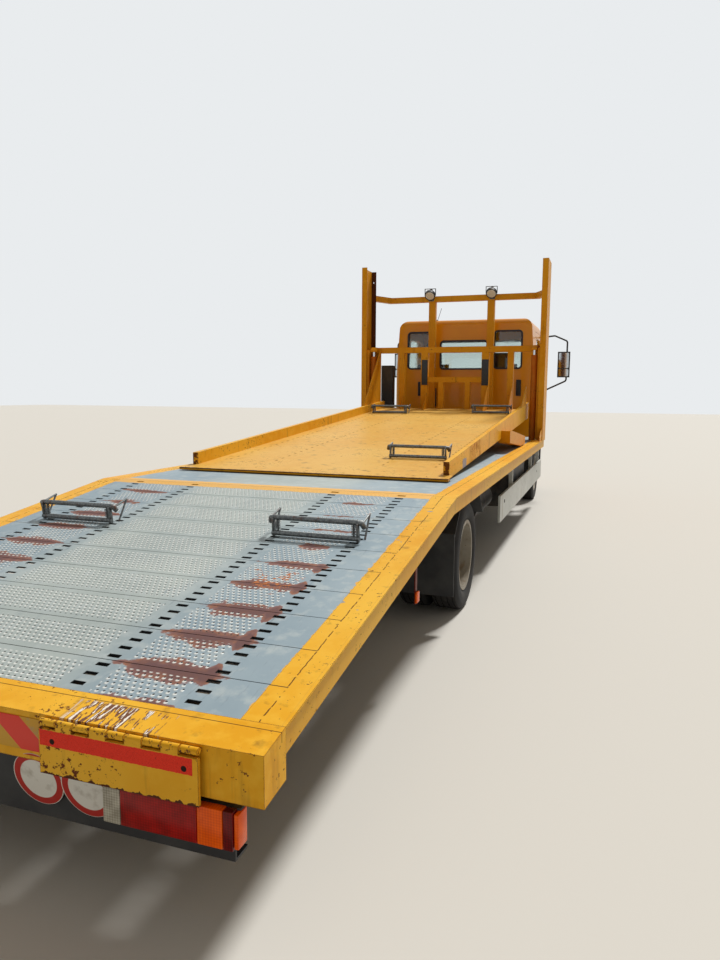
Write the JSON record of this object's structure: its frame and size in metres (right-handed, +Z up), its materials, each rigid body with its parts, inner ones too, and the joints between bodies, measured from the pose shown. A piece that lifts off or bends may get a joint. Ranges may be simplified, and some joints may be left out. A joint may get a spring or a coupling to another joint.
{
  "type": "two-level car transporter truck",
  "caption": "Cab-over truck with a sloped and level car bed, a lifting upper deck between two guide posts, wheel stops, hinged rear flaps and a tilting cab.",
  "frame": {"origin": "on the ground, under the middle of the truck, in length and in width", "axes": "+Y forward along the truck, +X to its right, +Z up"},
  "size_m": [2.924, 10.775, 3.341],
  "materials": {
    "yellow_paint": "worn gloss",
    "cab_paint": "gloss",
    "bed_steel": "worn satin",
    "chassis_paint": "dusty satin",
    "cylinder_paint": "satin",
    "chromed_steel": "polished",
    "galvanised_steel": "dull",
    "panel_paint": "satin",
    "black_plastic": "matt",
    "lamp_plastic": "glossy",
    "lamp_clear": "clear",
    "window_glass": "clear",
    "cab_trim": "matt",
    "tyre_rubber": "matt",
    "rim_paint": "dusty satin"
  },
  "bodies": {
    "root": {"chassis_frame": "chassis_paint", "bed_beams": "chassis_paint", "bed_cross_members": "chassis_paint", "bed_side_rails": "yellow_paint", "level_floor": "bed_steel", "slope_floor": "bed_steel", "rear_sill": "yellow_paint", "rear_bumper": "black_plastic", "rear_lamps": "lamp_plastic", "guide_posts": "yellow_paint", "gantry_frame": "yellow_paint", "work_lamps": "black_plastic", "lift_barrels": "cylinder_paint", "side_guards": "panel_paint", "fuel_tank": "chassis_paint", "battery_box": "chassis_paint", "air_tanks": "chassis_paint", "rear_mudguards": "black_plastic", "rear_axle": "chassis_paint", "front_axle": "chassis_paint", "driveline": "chassis_paint", "front_bumper": "black_plastic", "headlamps": "lamp_clear", "cab_steps": "black_plastic", "bed_wheel_stops": "galvanised_steel", "air_intake": "black_plastic"},
    "cab": {"cab_roof": "cab_paint", "cab_rear_wall": "cab_paint", "cab_front": "cab_paint", "cab_sides": "cab_paint", "cab_floor": "cab_trim", "cab_glass": "window_glass", "cab_interior": "cab_trim", "grille": "black_plastic", "mirrors": "black_plastic"},
    "door_left": {"door_left": "cab_paint", "door_glass_left": "window_glass"},
    "door_right": {"door_right": "cab_paint", "door_glass_right": "window_glass"},
    "knuckle_left": {"knuckle_left": "chassis_paint"},
    "knuckle_right": {"knuckle_right": "chassis_paint"},
    "front_wheel_left": {"front_tyre_left": "tyre_rubber", "front_rim_left": "rim_paint"},
    "front_wheel_right": {"front_tyre_right": "tyre_rubber", "front_rim_right": "rim_paint"},
    "rear_wheels_left": {"rear_tyres_left": "tyre_rubber", "rear_rims_left": "rim_paint"},
    "rear_wheels_right": {"rear_tyres_right": "tyre_rubber", "rear_rims_right": "rim_paint"},
    "deck": {"deck_plate": "yellow_paint", "deck_rails": "yellow_paint", "deck_beams": "yellow_paint", "headboard": "yellow_paint", "deck_carriages": "yellow_paint", "deck_arms": "yellow_paint", "lift_rods": "chromed_steel", "deck_wheel_stops": "galvanised_steel"},
    "rear_flap_left": {"rear_flap_left": "yellow_paint"},
    "rear_flap_right": {"rear_flap_right": "yellow_paint"}
  },
  "joints": [
    {"name": "deck_lift", "type": "slide", "parent": "root", "child": "deck", "axis": [0, 0, 1], "range_m": [0, 1.05]},
    {"name": "cab_tilt", "type": "hinge", "parent": "root", "child": "cab", "pos_m": [0, 5.2775, 0.8], "axis": [-1, 0, 0], "range_deg": [0, 50]},
    {"name": "door_left_hinge", "type": "hinge", "parent": "cab", "child": "door_left", "pos_m": [-1.062, 5.1105, 1.4], "axis": [0, 0, -1], "range_deg": [0, 70]},
    {"name": "steer_left", "type": "hinge", "parent": "root", "child": "knuckle_left", "pos_m": [-0.8, 4.1275, 0.4], "axis": [0, 0, 1], "range_deg": [-35, 35]},
    {"name": "front_wheel_left_spin", "type": "hinge", "parent": "knuckle_left", "child": "front_wheel_left", "pos_m": [-0.97, 4.1275, 0.4], "axis": [1, 0, 0], "continuous": true},
    {"name": "rear_wheels_left_spin", "type": "hinge", "parent": "root", "child": "rear_wheels_left", "pos_m": [-0.93, -1.8005, 0.4], "axis": [1, 0, 0], "continuous": true},
    {"name": "rear_flap_left_hinge", "type": "hinge", "parent": "root", "child": "rear_flap_left", "pos_m": [-0.817, -5.3765, 0.601], "axis": [-1, 0, 0], "range_deg": [0, 95]},
    {"name": "door_right_hinge", "type": "hinge", "parent": "cab", "child": "door_right", "pos_m": [1.062, 5.1105, 1.4], "axis": [0, 0, 1], "range_deg": [0, 70]},
    {"name": "steer_right", "type": "hinge", "parent": "root", "child": "knuckle_right", "pos_m": [0.8, 4.1275, 0.4], "axis": [0, 0, 1], "range_deg": [-35, 35]},
    {"name": "front_wheel_right_spin", "type": "hinge", "parent": "knuckle_right", "child": "front_wheel_right", "pos_m": [0.97, 4.1275, 0.4], "axis": [1, 0, 0], "continuous": true},
    {"name": "rear_wheels_right_spin", "type": "hinge", "parent": "root", "child": "rear_wheels_right", "pos_m": [0.93, -1.8005, 0.4], "axis": [1, 0, 0], "continuous": true},
    {"name": "rear_flap_right_hinge", "type": "hinge", "parent": "root", "child": "rear_flap_right", "pos_m": [0.817, -5.3765, 0.601], "axis": [-1, 0, 0], "range_deg": [0, 95]}
  ],
  "couplings": [
    {"joint": "steer_right", "follows": "steer_left", "ratio": 1}
  ]
}
